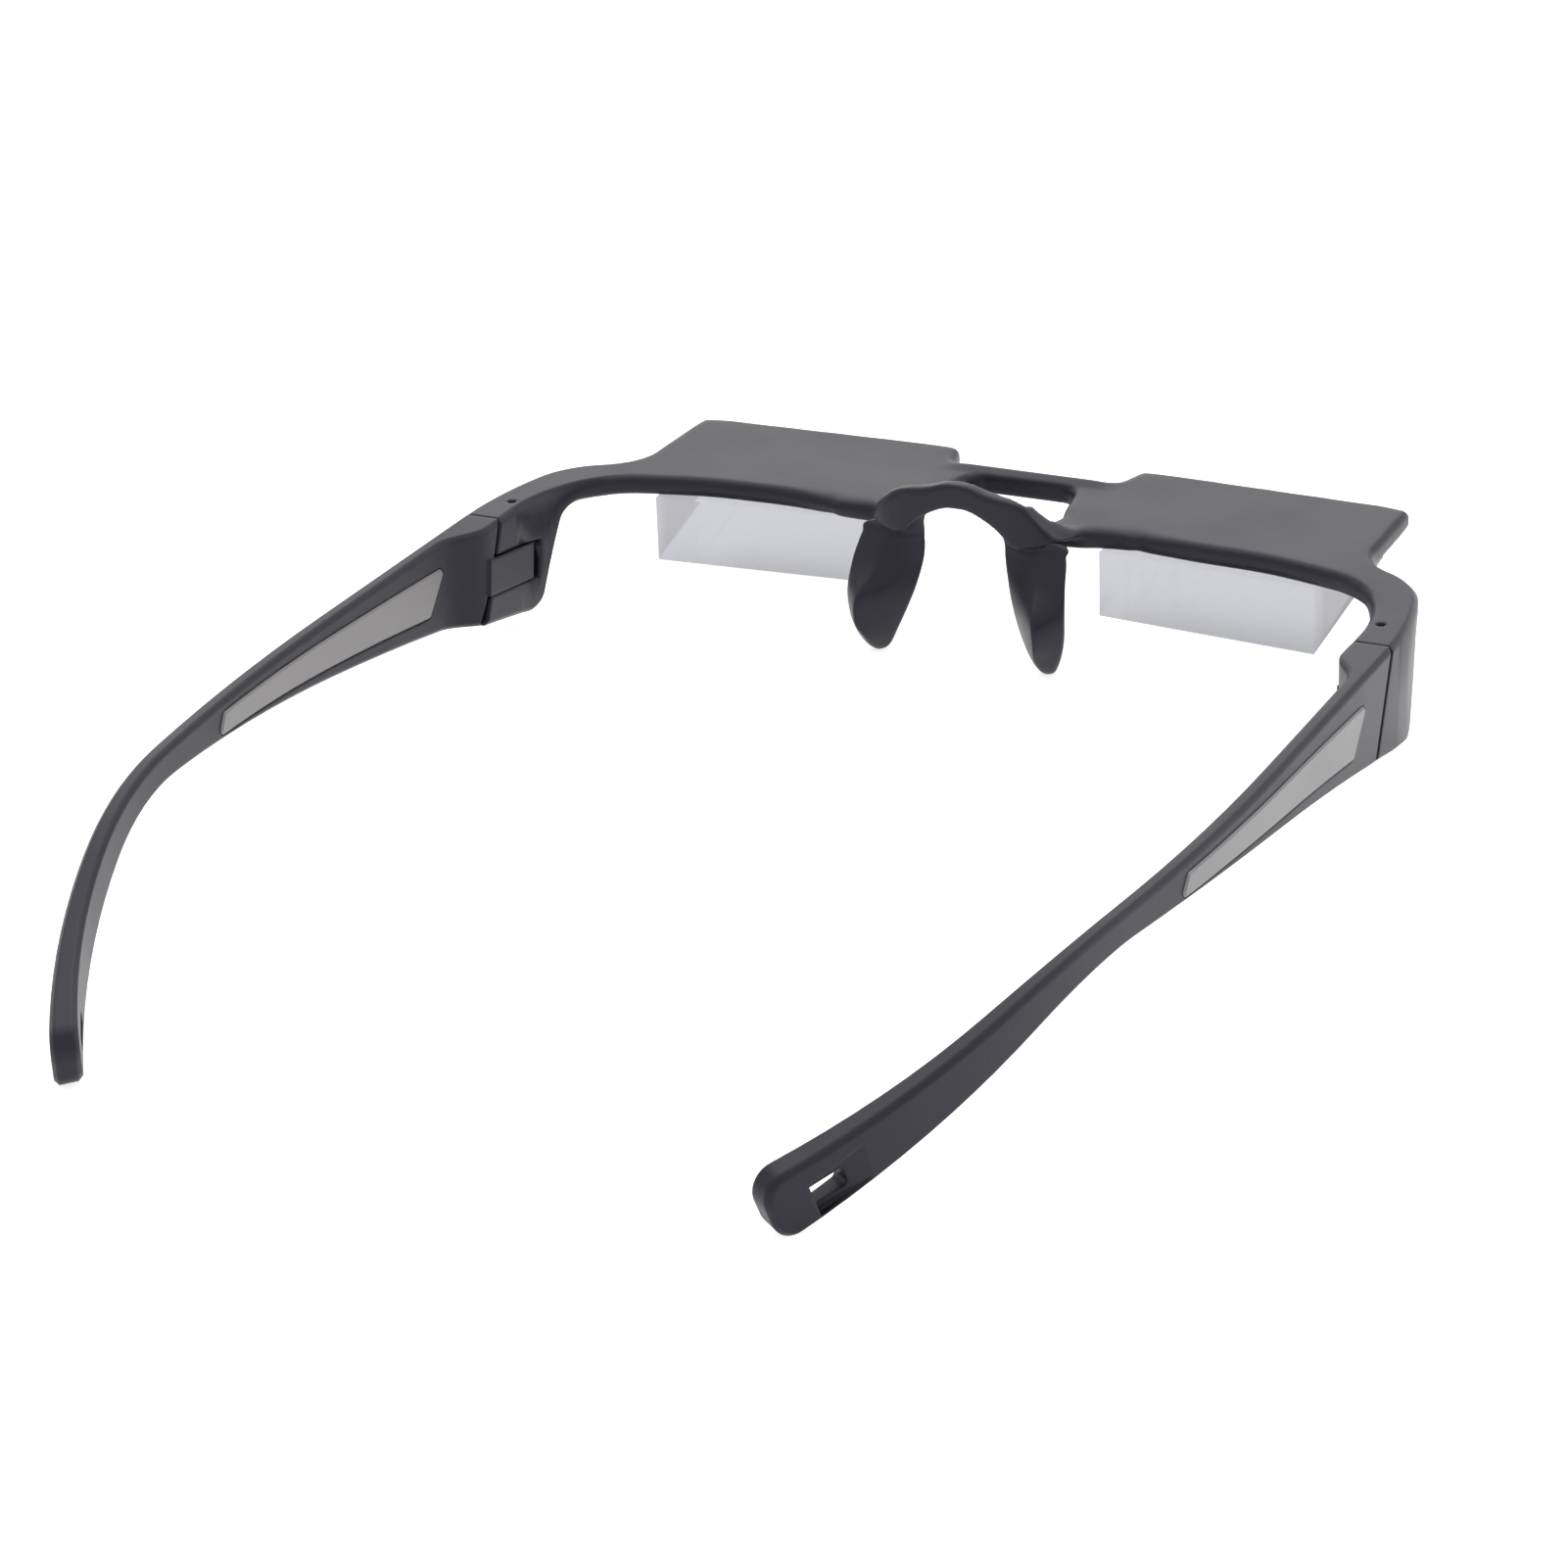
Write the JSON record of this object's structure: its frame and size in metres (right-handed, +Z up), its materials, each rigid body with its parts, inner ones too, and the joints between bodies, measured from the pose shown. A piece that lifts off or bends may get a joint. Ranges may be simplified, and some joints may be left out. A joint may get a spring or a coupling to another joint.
{
  "type": "prism bed glasses",
  "caption": "Prism glasses for reading while lying down: black moulded frame, clear wedge prisms under a flat deck, nose pads and temples that fold on pins.",
  "frame": {"origin": "centre of the bounding box in plan, at the level of the lowest points, the toes of the nose pads and the temple tips", "axes": "+X to the wearer's left, +Y from the deck back to the temple tips, +Z up, square to the flat deck"},
  "size_m": [0.1458, 0.2014, 0.0282],
  "materials": {
    "frame_plastic": "satin black moulding",
    "pad_plastic": "satin black moulding",
    "prism_clear": "clear polished acrylic",
    "temple_plastic": "satin black moulding",
    "inlay_silver": "satin silver-grey",
    "pin_steel": "plain steel pin"
  },
  "bodies": {
    "frame": {"front_frame": "frame_plastic", "nose_pad_left": "pad_plastic", "nose_pad_right": "pad_plastic", "prism_left": "prism_clear", "prism_right": "prism_clear", "hinge_pin_left": "pin_steel", "hinge_pin_right": "pin_steel"},
    "left_temple": {"temple_left": "temple_plastic", "temple_inlay_left": "inlay_silver"},
    "right_temple": {"temple_right": "temple_plastic", "temple_inlay_right": "inlay_silver"}
  },
  "joints": [
    {"name": "left_hinge", "type": "hinge", "parent": "frame", "child": "left_temple", "pos_m": [0.0684, -0.05515, 0.0201], "axis": [0, -0.1392, 0.9903], "range_deg": [0, 90]},
    {"name": "right_hinge", "type": "hinge", "parent": "frame", "child": "right_temple", "pos_m": [-0.0684, -0.05515, 0.0201], "axis": [0, 0.1392, -0.9903], "range_deg": [0, 80]}
  ]
}
